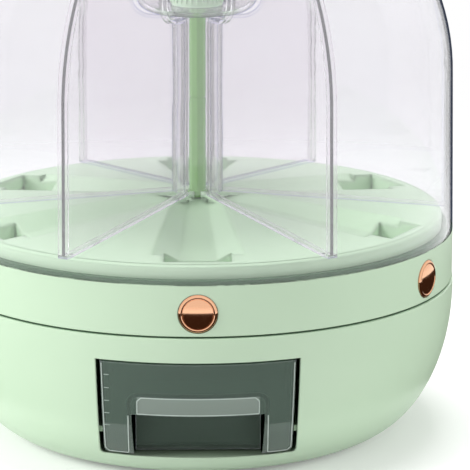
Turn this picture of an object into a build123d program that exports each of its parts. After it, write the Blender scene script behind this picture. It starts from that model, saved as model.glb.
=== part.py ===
# Rotating cereal dispenser: a domed hopper of six compartments that turns on a bowl with a drawer.
# Millimetres, +Z up, origin on the ground under the axis of rotation, drawer towards -Y.
from build123d import *

import os
from math import cos, pi, radians, sin, sqrt, tan

os.makedirs("parts", exist_ok=True)

# Driving dimensions: the body
compartments = 6
body_radius = 150.0
ring_top = 120.0
ring_height = 28.5
seam_gap = 1.0
shell_wall = 3.0
edge_round = 0.8

# Driving dimensions: clearances
seat_gap = 0.15
running_gap = 0.3
shaft_gap = 0.05

# Driving dimensions: the bowl of the base
bowl_flare = 0.5
foot_setback = 49.8
bowl_bottom = 0.8
bowl_straight = 4.4
foot_pad_radius = 8.0
foot_pad_setback = 14.7
foot_pad_recess = 1.4

# Driving dimensions: the drawer and its opening
opening_drop = 14.0
opening_bottom = 15.8
opening_top_half = 56.0
opening_taper = 1.5
opening_corner = 3.0
front_round = 0.6
drawer_reveal = 2.2
drawer_top_gap = 0.9
drawer_floor_gap = 1.4
drawer_setback = 0.4
drawer_wall = 2.4
drawer_back = 30.0
drawer_corner = 6.0
pocket_side = 18.1
pocket_draft = 3.0
pocket_drop = 21.0
pocket_depth = 33.5
pocket_corner = 5.0
lip_height = 11.1

# Driving dimensions: the drawer bay
bay_wall = 2.2
bay_side_gap = 0.3
bay_back_gap = 1.5
bay_leg_inset = 14.5
runner_inset = 9.5
runner_width = 4.0
guide_rise = 14.2
guide_width = 4.0

# Driving dimensions: the turntable bearing and its pivot
ball_radius = 3.0
ball_setback = 58.0
ball_count = 12
race_depth = 0.5
cage_width = 10.0
cage_thickness = 2.5
plate_thickness = 3.0
plate_drop = 3.5
deck_thickness = 3.0
ledge_width = 11.5
ledge_thickness = 2.4
spindle_radius = 8.0
spindle_flange_radius = 15.0
spindle_flange = 2.0
stud_radius = 5.0
stud_length = 10.0
plate_hub_radius = 13.0
plate_hub_height = 12.0
pivot_washer = 2.0
pivot_screw_radius = 4.0
pivot_screw_head = 6.5
pivot_screw_depth = 10.0
nut_height = 7.0
nut_across_flats = 17.0

# Driving dimensions: screws that hold the deck and the turntable plate
screw_radius = 1.6
screw_head_radius = 3.2
screw_head = 1.8
screw_length = 12.0
boss_radius = 4.2
deck_boss_setback = 9.3
deck_boss_length = 14.0
ring_boss_setback = 9.0

# Driving dimensions: the hopper tray
rim_setback = 6.6
rim_height = 9.7
rim_width = 3.4
tray_peak = 20.6
tray_wall = 2.4
ridge_half = 1.4
spine_inner_half = 4.7
spine_outer_half = 10.3
spine_inner_height = 16.2
spine_outer_height = 4.2
valley_slope = 30.0
flange_width = 8.0
flange_thickness = 3.0
outlet_half = 18.6
outlet_setback = 14.6
outlet_length = 25.4
throat_setback = 26.0
throat_length = 12.0
throat_height = 8.5
chute_wall = 2.0
chute_bend = 2.4

# Driving dimensions: the gates, buttons and return springs
gate_thickness = 2.2
gate_side = 6.4
gate_travel = 10.0
gate_overlap = 2.0
gate_bridge = 4.0
gate_tab = 3.0
gate_tab_depth = 11.0
gate_block_half = 8.0
gate_tail = 9.0
rail_width = 4.0
rail_cap = 1.6
rail_setback = 10.0
rail_length = 40.0
grain_hole_side = 3.4
button_drop = 15.6
button_radius = 10.7
button_face_radius = 8.2
button_proud = 1.2
button_bevel = 0.9
button_crown = 0.5
button_depth = 6.3
stem_radius = 4.0
stem_socket = 2.0
spring_radius = 3.5
spring_wire = 0.9
spring_turns = 5
spring_drop = 8.2
spring_post_setback = 80.0
spring_post = 4.0
peg_radius = 2.4
peg_length = 5.0

# Driving dimensions: the dome
clear_wall = 2.4
dome_draft = 1.5
dome_straight = 91.0
dome_arc_centre = 18.9
mouth_setback = 58.0
collar_height = 7.0
seal_height = 2.4

# Driving dimensions: the dividers, their hub and the centre rod
divider_thickness = 2.0
divider_drop = 10.0
divider_dome_gap = 0.8
divider_flange_half = 3.0
divider_flange = 1.6
hub_radius = 15.9
hub_wall = 2.4
hub_groove = 1.0
cup_radius = 36.0
cup_drop = 61.7
cup_height = 50.0
cup_wall = 2.6
cup_round = 9.0
rod_radius = 4.8
rod_collar_radius = 6.0
rod_collar = 4.2
rod_groove_height = 75.0
rod_groove = 0.8
rod_sides = 8
rod_stud_radius = 3.0
rod_stud_length = 13.0
rod_nut_height = 5.0
rod_nut_across_flats = 10.0
knob_radius = 15.0
knob_height = 13.0
knob_bore_depth = 9.0

# Driving dimensions: the lid
lid_overhang = 3.0
lid_wall = 2.4
lid_skirt = 5.0
lid_crown = 8.0
lid_plug = 9.0
lid_seal_height = 3.0
lid_seal_radius = 1.6
lid_knob_radius = 23.0
lid_knob_neck = 13.0
lid_knob_height = 20.0
lid_knob_cap = 9.0
knob_screw_radius = 2.5
knob_screw_head = 4.5
knob_screw_depth = 10.0

# Heights and radii that follow from the driving dimensions
sector = 360 / compartments
ring_bottom = ring_top - ring_height
base_top = ring_bottom - seam_gap
bowl_shoulder = base_top - bowl_straight
base_floor = bowl_bottom + shell_wall
plate_bottom = ring_bottom - plate_drop
plate_top = plate_bottom + plate_thickness
ball_height = plate_bottom + race_depth - shaft_gap - ball_radius
deck_top = ball_height - ball_radius - shaft_gap + race_depth
deck_bottom = deck_top - deck_thickness
ledge_bottom = deck_bottom - ledge_thickness
bowl_radius = body_radius + bowl_flare
bowl_inside = bowl_radius - shell_wall
foot_radius = bowl_radius - foot_setback
foot_pad_circle = foot_radius - foot_pad_setback
deck_boss_circle = bowl_radius - deck_boss_setback
ring_inside = body_radius - shell_wall
ring_boss_circle = body_radius - ring_boss_setback
ball_circle = body_radius - ball_setback
rim_radius = body_radius - rim_setback
outlet_outer = body_radius - outlet_setback
outlet_inner = outlet_outer - outlet_length
throat_outer = body_radius - throat_setback
throat_inner = throat_outer - throat_length
rail_outer = body_radius - rail_setback
rail_inner = rail_outer - rail_length
spring_post_circle = body_radius - spring_post_setback
gate_half = outlet_half + gate_side
grain_hole_half = outlet_half + grain_hole_side
throat_bottom = ring_top - throat_height
gate_top = throat_bottom - running_gap
gate_bottom = gate_top - gate_thickness
button_height = ring_top - button_drop
spring_height = gate_bottom - spring_drop + gate_thickness
rim_top = ring_top + rim_height
opening_top = base_top - opening_drop
opening_bottom_half = opening_top_half - opening_taper
drawer_bottom = opening_bottom + drawer_floor_gap
drawer_top = opening_top - drawer_top_gap
dome_shoulder_radius = body_radius - dome_draft
dome_arc = dome_shoulder_radius - dome_arc_centre
dome_shoulder = ring_top + dome_straight
mouth_radius = body_radius - mouth_setback
mouth_height = dome_shoulder + sqrt(dome_arc**2 - (mouth_radius - dome_arc_centre) ** 2)
collar_top = mouth_height + collar_height
panel_top = mouth_height - divider_drop
cup_floor = panel_top - cup_drop
far = 2 * body_radius


def cone_height(radius):
    """Height of the tray's ridges above the ground at a radius."""
    return ring_top + tray_peak - (tray_peak - rim_height) * radius / rim_radius


def bowl_solid(inset, top):
    """Solid inside the bowl's outer surface moved inwards by inset, up to a height."""
    low = bowl_bottom + inset
    side = bowl_radius - inset
    with BuildPart() as solid:
        with BuildSketch(Plane.XZ):
            with BuildLine():
                Line((0, low), (foot_radius, low))
                EllipticalCenterArc(
                    (foot_radius, bowl_shoulder),
                    side - foot_radius,
                    bowl_shoulder - low,
                    start_angle=270,
                    arc_size=90,
                )
                Line((side, bowl_shoulder), (side, top))
                Line((side, top), (0, top))
                Line((0, top), (0, low))
            make_face()
        revolve(axis=Axis.Z)
    return solid.part


def on_bowl(edges, inset):
    """Those of some edges that lie on the bowl's outer surface moved inwards by inset."""
    sides = bowl_solid(inset, base_top).faces().filter_by(GeomType.PLANE, reverse=True)

    def lies_there(edge):
        """Whether an edge keeps to the surface along its length."""
        return all(
            min(side.distance_to(edge @ share) for side in sides) < seat_gap / 10
            for share in (0.1, 0.5, 0.9)
        )

    return edges.filter_by(lies_there)


def front_taper(top, bottom, top_half, bottom_half, upright_round, floor_round, near, reach):
    """Tapered box from near to reach towards the front, rounded at its back and its floor."""
    with BuildPart() as box:
        with BuildSketch(Plane.XZ.offset(near)):
            with BuildLine():
                Polyline(
                    (-bottom_half, bottom),
                    (bottom_half, bottom),
                    (top_half, top),
                    (-top_half, top),
                    close=True,
                )
            make_face()
        extrude(amount=reach - near)
        back = box.faces().sort_by(Axis.Y)[-1]
        fillet(back.edges().filter_by(lambda edge: abs((edge % 0.5).Z) > 0.9), radius=upright_round)
        floor = box.faces().sort_by(Axis.Z)[0]
        fillet(floor.edges().sort_by(Axis.Y)[1:], radius=floor_round)
    return box.part


def front_pocket(grow, top, corner, near):
    """Round-shouldered bar with drafted sides, grown by a wall, that the finger recess is cut with."""
    with BuildPart() as bar:
        for reach in (near, far):
            draft = pocket_draft * (reach - pocket_back) / pocket_depth
            with BuildSketch(Plane.XZ.offset(reach)) as outline:
                with Locations((0, top / 2)):
                    Rectangle(2 * (pocket_back_half + draft + grow), top)
                fillet(outline.vertices().group_by(Axis.Y)[-1], radius=corner)
        loft(ruled=True)
    return bar.part


def screw_group(circle, head_bottom, count, up):
    """Cheese-head screws on a circle, shank up or down from the underside of the head."""
    way = 1 if up else -1
    with BuildPart() as screws:
        with BuildSketch(Plane.XY.offset(head_bottom)):
            with PolarLocations(circle, count):
                Circle(screw_radius)
        extrude(amount=way * screw_length)
        with BuildSketch(Plane.XY.offset(head_bottom)):
            with PolarLocations(circle, count):
                Circle(screw_head_radius)
        extrude(amount=-way * screw_head)
    return screws.part


def save(part, name):
    """Label a finished piece and write it under its name."""
    part.label = name
    export_step(part, f"parts/{name}.step")


def save_turned(part, name):
    """Write one copy of a piece for each compartment, turned about the axis."""
    for index in range(compartments):
        save(part.rotate(Axis.Z, index * sector), f"{name}_{index + 1}")


# Base shell: the bowl, its ledge and screw bosses, the drawer opening and the foot recesses
opening_bar = front_taper(
    opening_top,
    opening_bottom,
    opening_top_half,
    opening_bottom_half,
    drawer_corner,
    opening_corner,
    foot_radius / 2,
    far,
)
with BuildPart() as base_shell:
    add(bowl_solid(0, base_top))
    fillet(base_shell.edges().group_by(Axis.Z)[-1], radius=edge_round)
    add(bowl_solid(shell_wall, far), mode=Mode.SUBTRACT)
    with BuildSketch(Plane.XY.offset(ledge_bottom)):
        Circle(bowl_inside + shell_wall / 2)
        Circle(bowl_inside - ledge_width, mode=Mode.SUBTRACT)
    extrude(amount=ledge_thickness)
    with BuildSketch(Plane.XY.offset(deck_bottom)):
        with PolarLocations(deck_boss_circle, compartments):
            Circle(boss_radius)
    extrude(amount=-deck_boss_length)
    with BuildSketch(Plane.XY.offset(deck_bottom)):
        with PolarLocations(deck_boss_circle, compartments):
            Circle(screw_radius + shaft_gap)
    extrude(amount=-screw_length, mode=Mode.SUBTRACT)
    add(opening_bar, mode=Mode.SUBTRACT)
    fillet(on_bowl(base_shell.edges(Select.LAST), 0), radius=front_round)
    with BuildSketch(Plane.XY.offset(bowl_bottom)):
        with PolarLocations(foot_pad_circle, compartments):
            Circle(foot_pad_radius + seat_gap)
    extrude(amount=foot_pad_recess, mode=Mode.SUBTRACT)
save(base_shell.part, "base_shell")

# Feet: rubber pads in the recesses of the shell
with BuildPart() as feet:
    with BuildSketch(Plane.XY):
        with PolarLocations(foot_pad_circle, compartments):
            Circle(foot_pad_radius)
    extrude(amount=bowl_bottom + foot_pad_recess)
save(feet.part, "feet")

# Drawer bay: an open box on legs that carries and guides the drawer
bay_half = opening_top_half + bay_side_gap
bay_near = drawer_back - bay_back_gap
bay_top = ledge_bottom - seat_gap
bay_leg_height = opening_bottom - bay_wall - base_floor
drawer_top_half = opening_top_half - drawer_reveal
drawer_bottom_half = opening_bottom_half - drawer_reveal
drawer_flare = (drawer_top_half - drawer_bottom_half) / (drawer_top - drawer_bottom)
runner_offset = opening_bottom_half - runner_inset
bay_leg_offset = opening_bottom_half - bay_leg_inset
guide_height = opening_bottom + guide_rise
guide_top = guide_height + guide_width
guide_reach = bay_half - drawer_bottom_half - drawer_flare * (guide_top - drawer_bottom) - running_gap
with BuildPart() as drawer_bay:
    with BuildSketch(Plane.XY.offset(opening_bottom - bay_wall)):
        with Locations((0, -(bay_near - bay_wall + far) / 2)):
            Rectangle(2 * (bay_half + bay_wall), far - bay_near + bay_wall)
    extrude(amount=bay_top - opening_bottom + bay_wall)
    with BuildSketch(Plane.XY.offset(opening_bottom)):
        with Locations((0, -(bay_near + far) / 2)):
            Rectangle(2 * bay_half, far - bay_near)
    extrude(amount=bay_top - opening_bottom, mode=Mode.SUBTRACT)
    with BuildSketch(Plane.XY.offset(opening_bottom)):
        for side in (-1, 1):
            with Locations((side * runner_offset, -(bay_near + far) / 2)):
                Rectangle(runner_width, far - bay_near)
    extrude(amount=drawer_floor_gap - running_gap)
    with BuildSketch(Plane.XY.offset(guide_height)):
        for side in (-1, 1):
            with Locations((side * (bay_half - guide_reach / 2), -(bay_near + far) / 2)):
                Rectangle(guide_reach, far - bay_near)
    extrude(amount=guide_width)
    with BuildSketch(Plane.XY.offset(base_floor)):
        for side in (-1, 1):
            with Locations((side * bay_leg_offset, -(bay_near + foot_radius) / 2)):
                Rectangle(bay_wall, foot_radius - bay_near)
    extrude(amount=bay_leg_height)
    add(bowl_solid(shell_wall + seat_gap, far), mode=Mode.INTERSECT)
save(drawer_bay.part, "drawer_bay")

# Drawer: a clear tray whose front follows the bowl, with a finger recess behind a hanging lip
pocket_top = opening_top - pocket_drop
pocket_back = bowl_radius - pocket_depth
pocket_back_half = opening_top_half - pocket_side - pocket_draft
lip_bottom = pocket_top - lip_height
pocket_shell = front_pocket(
    drawer_wall, pocket_top + drawer_wall, pocket_corner + drawer_wall, pocket_back - drawer_wall
)
with BuildPart() as drawer_cavity:
    add(
        front_taper(
            drawer_top + drawer_wall,
            drawer_bottom + drawer_wall,
            drawer_top_half - drawer_wall,
            drawer_bottom_half - drawer_wall,
            drawer_corner,
            opening_corner,
            drawer_back + drawer_wall,
            far,
        )
    )
    add(bowl_solid(drawer_setback + drawer_wall, far), mode=Mode.INTERSECT)
    add(pocket_shell, mode=Mode.SUBTRACT)
with BuildPart() as drawer_recess:
    add(front_pocket(0, pocket_top, pocket_corner, pocket_back))
    add(bowl_solid(drawer_setback + drawer_wall, far), mode=Mode.INTERSECT)
    add(front_pocket(0, lip_bottom, edge_round, pocket_back))
with BuildPart() as drawer:
    add(
        front_taper(
            drawer_top,
            drawer_bottom,
            drawer_top_half,
            drawer_bottom_half,
            drawer_corner + drawer_wall,
            opening_corner,
            drawer_back,
            far,
        )
    )
    add(bowl_solid(drawer_setback, far), mode=Mode.INTERSECT)
    add(drawer_cavity.part, mode=Mode.SUBTRACT)
    add(drawer_recess.part, mode=Mode.SUBTRACT)
    fillet(on_bowl(drawer.edges(), drawer_setback), radius=front_round)
save(drawer.part, "drawer")

# Base deck: closes the bowl, carries the balls and lets the grain through above the drawer
grain_inner = throat_inner - gate_overlap
grain_outer = throat_outer + gate_overlap
with BuildPart() as base_deck:
    with BuildSketch(Plane.XY.offset(deck_bottom)):
        Circle(bowl_inside - running_gap)
    extrude(amount=deck_thickness)
    with BuildSketch(Plane.XY.offset(bay_top + seat_gap)):
        with Locations((0, -(grain_inner + grain_outer) / 2)):
            Rectangle(
                2 * (grain_hole_half + chute_wall), grain_outer - grain_inner + 2 * chute_wall
            )
    extrude(amount=deck_bottom - bay_top - seat_gap)
    with BuildSketch(Plane.XY.offset(bay_top)):
        with Locations((0, -(grain_inner + grain_outer) / 2)):
            Rectangle(2 * grain_hole_half, grain_outer - grain_inner)
    extrude(amount=far, mode=Mode.SUBTRACT)
    with BuildSketch(Plane.XZ):
        with Locations((ball_circle, ball_height)):
            Circle(ball_radius + shaft_gap)
    revolve(axis=Axis.Z, mode=Mode.SUBTRACT)
    with BuildSketch(Plane.XY.offset(deck_bottom)):
        Circle(stud_radius + shaft_gap)
        with PolarLocations(deck_boss_circle, compartments):
            Circle(screw_radius + shaft_gap)
    extrude(amount=deck_thickness, mode=Mode.SUBTRACT)
    with BuildSketch(Plane.XY.offset(deck_top)):
        with PolarLocations(deck_boss_circle, compartments):
            Circle(screw_head_radius + seat_gap)
    extrude(amount=-screw_head, mode=Mode.SUBTRACT)
save(base_deck.part, "base_deck")
save(screw_group(deck_boss_circle, deck_top - screw_head, compartments, False), "deck_screws")

# Turntable bearing: balls in a flat cage between the deck and the turntable plate
with BuildPart() as ball_cage:
    with BuildSketch(Plane.XY.offset(ball_height - cage_thickness / 2)):
        Circle(ball_circle + cage_width / 2)
        Circle(ball_circle - cage_width / 2, mode=Mode.SUBTRACT)
        with PolarLocations(ball_circle, ball_count):
            Circle(ball_radius + running_gap, mode=Mode.SUBTRACT)
    extrude(amount=cage_thickness)
save(ball_cage.part, "ball_cage")
with BuildPart() as bearing_balls:
    with BuildSketch(Plane.XZ):
        with Locations((0, ball_height)):
            Circle(ball_radius)
            with Locations((-ball_radius, 0)):
                Rectangle(2 * ball_radius, 2 * ball_radius, mode=Mode.SUBTRACT)
    revolve(axis=Axis.Z)
balls = [
    bearing_balls.part.moved(Location((ball_circle * cos(turn), ball_circle * sin(turn), 0)))
    for turn in (2 * pi * index / ball_count for index in range(ball_count))
]
save(Compound(children=balls), "bearing_balls")

# Pivot: a spindle bolted through the deck, and the washer and screw that hold the turntable down
hub_top = plate_bottom + plate_hub_height
spindle_top = hub_top + running_gap
with BuildPart() as pivot_spindle:
    with BuildSketch(Plane.XY.offset(deck_top)):
        Circle(spindle_flange_radius)
    extrude(amount=spindle_flange)
    with BuildSketch(Plane.XY.offset(deck_top)):
        Circle(spindle_radius)
    extrude(amount=spindle_top - deck_top)
    with BuildSketch(Plane.XY.offset(deck_top)):
        Circle(stud_radius)
    extrude(amount=-(deck_thickness + stud_length))
    with BuildSketch(Plane.XY.offset(spindle_top)):
        Circle(pivot_screw_radius + shaft_gap)
    extrude(amount=-pivot_screw_depth - running_gap, mode=Mode.SUBTRACT)
save(pivot_spindle.part, "pivot_spindle")
with BuildPart() as pivot_nut:
    with BuildSketch(Plane.XY.offset(deck_bottom)):
        RegularPolygon(nut_across_flats / 2, 6, major_radius=False)
        Circle(stud_radius + shaft_gap, mode=Mode.SUBTRACT)
    extrude(amount=-nut_height)
save(pivot_nut.part, "pivot_nut")
with BuildPart() as washer:
    with BuildSketch(Plane.XY.offset(spindle_top)):
        Circle(spindle_flange_radius)
        Circle(pivot_screw_radius + shaft_gap, mode=Mode.SUBTRACT)
    extrude(amount=pivot_washer)
save(washer.part, "pivot_washer")
with BuildPart() as pivot_screw:
    with BuildSketch(Plane.XY.offset(spindle_top + pivot_washer)):
        Circle(pivot_screw_head)
    extrude(amount=pivot_screw_head)
    with BuildSketch(Plane.XY.offset(spindle_top + pivot_washer)):
        Circle(pivot_screw_radius)
    extrude(amount=-pivot_washer - pivot_screw_depth)
    with BuildSketch(Plane.XY.offset(spindle_top + pivot_washer + pivot_screw_head)):
        RegularPolygon(pivot_screw_radius * 0.8, 6)
    extrude(amount=-pivot_screw_head / 2, mode=Mode.SUBTRACT)
save(pivot_screw.part, "pivot_screw")

# Turntable plate: the floor of the ring, with the gate rails and the spring posts
rail_top = gate_top + running_gap + rail_cap
rail_face = gate_half - rail_width / 2 + running_gap
with BuildPart() as gate_guide:
    with BuildSketch(Plane.XY.offset(plate_top)):
        for side in (-1, 1):
            with Locations((side * (rail_face + rail_width / 2), -(rail_inner + rail_outer) / 2)):
                Rectangle(rail_width, rail_outer - rail_inner)
    extrude(amount=rail_top - plate_top)
    with BuildSketch(Plane.XY.offset(gate_bottom - running_gap)):
        with Locations((0, -(rail_inner + rail_outer) / 2)):
            Rectangle(2 * (gate_half + running_gap), rail_outer - rail_inner)
    extrude(amount=gate_thickness + 2 * running_gap, mode=Mode.SUBTRACT)
    with BuildSketch(Plane.XY.offset(plate_top)):
        with Locations((0, -spring_post_circle + spring_post / 2)):
            Rectangle(2 * gate_block_half, spring_post)
    extrude(amount=gate_bottom - running_gap - plate_top)
    with BuildSketch(Plane.XZ.offset(spring_post_circle)):
        with Locations((0, spring_height)):
            Circle(peg_radius)
    extrude(amount=peg_length)
with BuildPart() as turntable_plate:
    with BuildSketch(Plane.XY.offset(plate_bottom)):
        Circle(ring_inside - running_gap)
    extrude(amount=plate_thickness)
    with BuildSketch(Plane.XY.offset(plate_bottom)):
        Circle(plate_hub_radius)
    extrude(amount=plate_hub_height)
    with PolarLocations(0, compartments):
        add(gate_guide.part)
    with BuildSketch(Plane.XY.offset(plate_bottom)):
        Circle(spindle_radius + shaft_gap)
    extrude(amount=plate_hub_height, mode=Mode.SUBTRACT)
    with BuildSketch(Plane.XY.offset(plate_bottom)):
        with PolarLocations(0, compartments):
            with Locations((0, -(grain_inner + grain_outer) / 2)):
                Rectangle(2 * grain_hole_half, grain_outer - grain_inner)
        with PolarLocations(ring_boss_circle, compartments):
            Circle(screw_radius + shaft_gap)
    extrude(amount=plate_thickness, mode=Mode.SUBTRACT)
    with BuildSketch(Plane.XY.offset(plate_bottom)):
        with PolarLocations(ring_boss_circle, compartments):
            Circle(screw_head_radius + seat_gap)
    extrude(amount=screw_head, mode=Mode.SUBTRACT)
    with BuildSketch(Plane.XZ):
        with Locations((ball_circle, ball_height)):
            Circle(ball_radius + shaft_gap)
    revolve(axis=Axis.Z, mode=Mode.SUBTRACT)
save(turntable_plate.part, "turntable_plate")
save(screw_group(ring_boss_circle, plate_bottom + screw_head, compartments, True), "plate_screws")

# Button ring: the outer band, the flange that the tray stands on, screw bosses and button holes
flange_bottom = ring_top - flange_thickness
with BuildPart() as button_ring:
    with BuildSketch(Plane.XY.offset(ring_bottom)):
        Circle(body_radius)
    extrude(amount=ring_height)
    fillet(button_ring.edges().group_by(Axis.Z)[0], radius=edge_round)
    with BuildSketch(Plane.XY.offset(ring_bottom)):
        Circle(ring_inside)
    extrude(amount=ring_height, mode=Mode.SUBTRACT)
    with BuildSketch(Plane.XY.offset(flange_bottom)):
        Circle(ring_inside + shell_wall / 2)
        Circle(ring_inside - flange_width, mode=Mode.SUBTRACT)
    extrude(amount=flange_thickness)
    with BuildSketch(Plane.XY.offset(plate_top)):
        with PolarLocations(ring_boss_circle, compartments):
            Circle(boss_radius)
    extrude(amount=flange_bottom - plate_top)
    with BuildSketch(Plane.XY.offset(plate_top)):
        with PolarLocations(ring_boss_circle, compartments):
            Circle(screw_radius + shaft_gap)
    extrude(amount=screw_length, mode=Mode.SUBTRACT)
    for index in range(compartments):
        turn = radians(index * sector - 90)
        outward = (cos(turn), sin(turn), 0)
        with BuildSketch(Plane((0, 0, button_height), x_dir=(0, 0, 1), z_dir=outward)):
            Circle(button_radius + running_gap)
        extrude(amount=far, mode=Mode.SUBTRACT)
save(button_ring.part, "button_ring")

# Tray form: everything under the tray's upper surface, a cone with one valley cut for each sector
half_sector = radians(sector / 2)
ridge_point = ridge_half / sin(half_sector)
spine_end = (outlet_inner + outlet_outer) / 2
with BuildPart() as valley:
    for reach in (0, spine_end):
        share = reach / outlet_inner
        half = spine_inner_half + (spine_outer_half - spine_inner_half) * share
        low = ring_top + spine_inner_height + (spine_outer_height - spine_inner_height) * share
        rise = tray_peak + ring_top + 2 * rim_width - low
        wide = half + rise / tan(radians(valley_slope))
        with BuildSketch(Plane.XZ.offset(reach)):
            with BuildLine():
                Polyline(
                    (-half, low), (half, low), (wide, low + rise), (-wide, low + rise), close=True
                )
            make_face()
    loft(ruled=True)
    with BuildSketch(Plane.XY):
        with BuildLine():
            Polyline(
                (0, -ridge_point),
                (-far * tan(half_sector), -far - ridge_point),
                (far * tan(half_sector), -far - ridge_point),
                close=True,
            )
        make_face()
    extrude(amount=far, mode=Mode.INTERSECT)
with BuildPart() as tray_form:
    with BuildSketch(Plane.XZ):
        with BuildLine():
            Polyline(
                (0, throat_bottom),
                (rim_radius, throat_bottom),
                (rim_radius, rim_top),
                (rim_radius - rim_width, rim_top),
                (rim_radius - rim_width, cone_height(rim_radius - rim_width)),
                (0, cone_height(0)),
                close=True,
            )
        make_face()
    revolve(axis=Axis.Z)
    with PolarLocations(0, compartments):
        add(valley.part, mode=Mode.SUBTRACT)


def chute_solid(wall):
    """One outlet's chute, grown outwards by wall: a funnel under a straight shaft."""
    with BuildPart() as funnel:
        for height, inner, outer in (
            (throat_bottom, throat_inner, throat_outer),
            (ring_top + chute_bend, outlet_inner, outlet_outer),
        ):
            with BuildSketch(Plane.XY.offset(height)):
                with Locations((0, -(inner + outer) / 2)):
                    Rectangle(2 * (outlet_half + wall), outer - inner + 2 * wall)
        loft(ruled=True)
        with BuildSketch(Plane.XY.offset(ring_top + chute_bend)):
            with Locations((0, -(outlet_inner + outlet_outer) / 2)):
                Rectangle(2 * (outlet_half + wall), outlet_outer - outlet_inner + 2 * wall)
        extrude(amount=far)
    return funnel.part


# Tray hollow: the form let down by the floor's wall, less the chutes and the rod's boss
rod_seat = ring_top + spine_inner_height
boss_bottom = rod_seat - rod_stud_length + rod_nut_height
with BuildPart() as tray_hollow:
    with Locations((0, 0, -tray_wall)):
        add(tray_form.part)
    with BuildSketch(Plane.XY):
        Circle(rim_radius - tray_wall)
    extrude(amount=far, mode=Mode.INTERSECT)
    with PolarLocations(0, compartments):
        add(chute_solid(chute_wall), mode=Mode.SUBTRACT)
    with BuildSketch(Plane.XY.offset(boss_bottom)):
        Circle(rod_collar_radius + tray_wall)
    extrude(amount=far, mode=Mode.SUBTRACT)

# Hopper tray: the form hollowed from below, with its outlets and the seat of the rod
with BuildPart() as tray:
    add(tray_form.part)
    add(tray_hollow.part, mode=Mode.SUBTRACT)
    with BuildSketch(Plane.XY.offset(throat_bottom)):
        Circle(body_radius)
        Circle(ring_inside - flange_width, mode=Mode.SUBTRACT)
    extrude(amount=ring_top - throat_bottom, mode=Mode.SUBTRACT)
    with PolarLocations(0, compartments):
        add(chute_solid(0), mode=Mode.SUBTRACT)
    rim_edges = tray.edges().filter_by_position(Axis.Z, rim_top, rim_top)
    fillet(rim_edges.sort_by(Edge.length)[-1], radius=edge_round)
    with BuildSketch(Plane.XY.offset(rod_seat)):
        Circle(rod_collar_radius + seat_gap)
    extrude(amount=far, mode=Mode.SUBTRACT)
    with BuildSketch(Plane.XY):
        Circle(rod_stud_radius + shaft_gap)
    extrude(amount=far, mode=Mode.SUBTRACT)
save(tray.part, "tray")

# Gates: sliding shutters, each with a window that the button pushes under the outlet
window_inner = throat_outer + gate_overlap
bridge_inner = window_inner + gate_travel + gate_overlap
bridge_outer = bridge_inner + gate_bridge
gate_inner = throat_inner - gate_tail
block_bottom = button_height - stem_radius - gate_overlap
with BuildPart() as gate:
    with BuildSketch(Plane.XY.offset(gate_bottom)):
        with Locations((0, -(gate_inner + bridge_outer) / 2)):
            Rectangle(2 * gate_half, bridge_outer - gate_inner)
        with Locations((0, -(window_inner + bridge_inner) / 2)):
            Rectangle(2 * outlet_half, bridge_inner - window_inner, mode=Mode.SUBTRACT)
    extrude(amount=gate_thickness)
    with BuildSketch(Plane.XY.offset(gate_bottom)):
        with Locations((0, -(gate_inner + gate_tab / 2))):
            Rectangle(2 * gate_block_half, gate_tab)
    extrude(amount=-gate_tab_depth)
    with BuildSketch(Plane.XY.offset(gate_bottom)):
        with Locations((0, -(bridge_inner + bridge_outer) / 2)):
            Rectangle(2 * gate_block_half, gate_bridge)
    extrude(amount=block_bottom - gate_bottom)
    with BuildSketch(Plane.XZ.offset(bridge_outer)):
        with Locations((0, button_height)):
            Circle(stem_radius + shaft_gap)
    extrude(amount=-stem_socket, mode=Mode.SUBTRACT)
    with BuildSketch(Plane.XZ.offset(gate_inner)):
        with Locations((0, spring_height)):
            Circle(peg_radius)
    extrude(amount=-peg_length)
save_turned(gate.part, "gate")

# Buttons: bevelled caps on a stem that is pushed into the gate
button_face = body_radius + button_proud
with BuildPart() as button:
    with BuildSketch(Plane.YZ):
        with BuildLine():
            TangentArc(
                (-button_face, button_height),
                (-button_face + button_crown, button_height + button_face_radius),
                tangent=(0, 1),
            )
            Polyline(
                (-button_face + button_crown, button_height + button_face_radius),
                (-button_face + button_crown + button_bevel, button_height + button_radius),
                (-body_radius + button_depth, button_height + button_radius),
                (-body_radius + button_depth, button_height + stem_radius),
                (-bridge_outer + stem_socket, button_height + stem_radius),
                (-bridge_outer + stem_socket, button_height),
                (-button_face, button_height),
            )
        make_face()
    revolve(axis=Axis((0, 0, button_height), (0, 1, 0)))
save_turned(button.part, "button")


def coil_point(turn):
    """Point of the spring's centre line after a number of turns."""
    span = gate_inner - spring_post_circle - spring_wire - 2 * seat_gap
    along = spring_post_circle + seat_gap + spring_wire / 2 + span * turn / spring_turns
    return Vector(
        spring_radius * cos(2 * pi * turn), -along, spring_height + spring_radius * sin(2 * pi * turn)
    )


def coil_tangent(turn):
    """Direction of the spring's centre line after a number of turns."""
    return (coil_point(turn + 1e-4) - coil_point(turn - 1e-4)).normalized()


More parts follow.
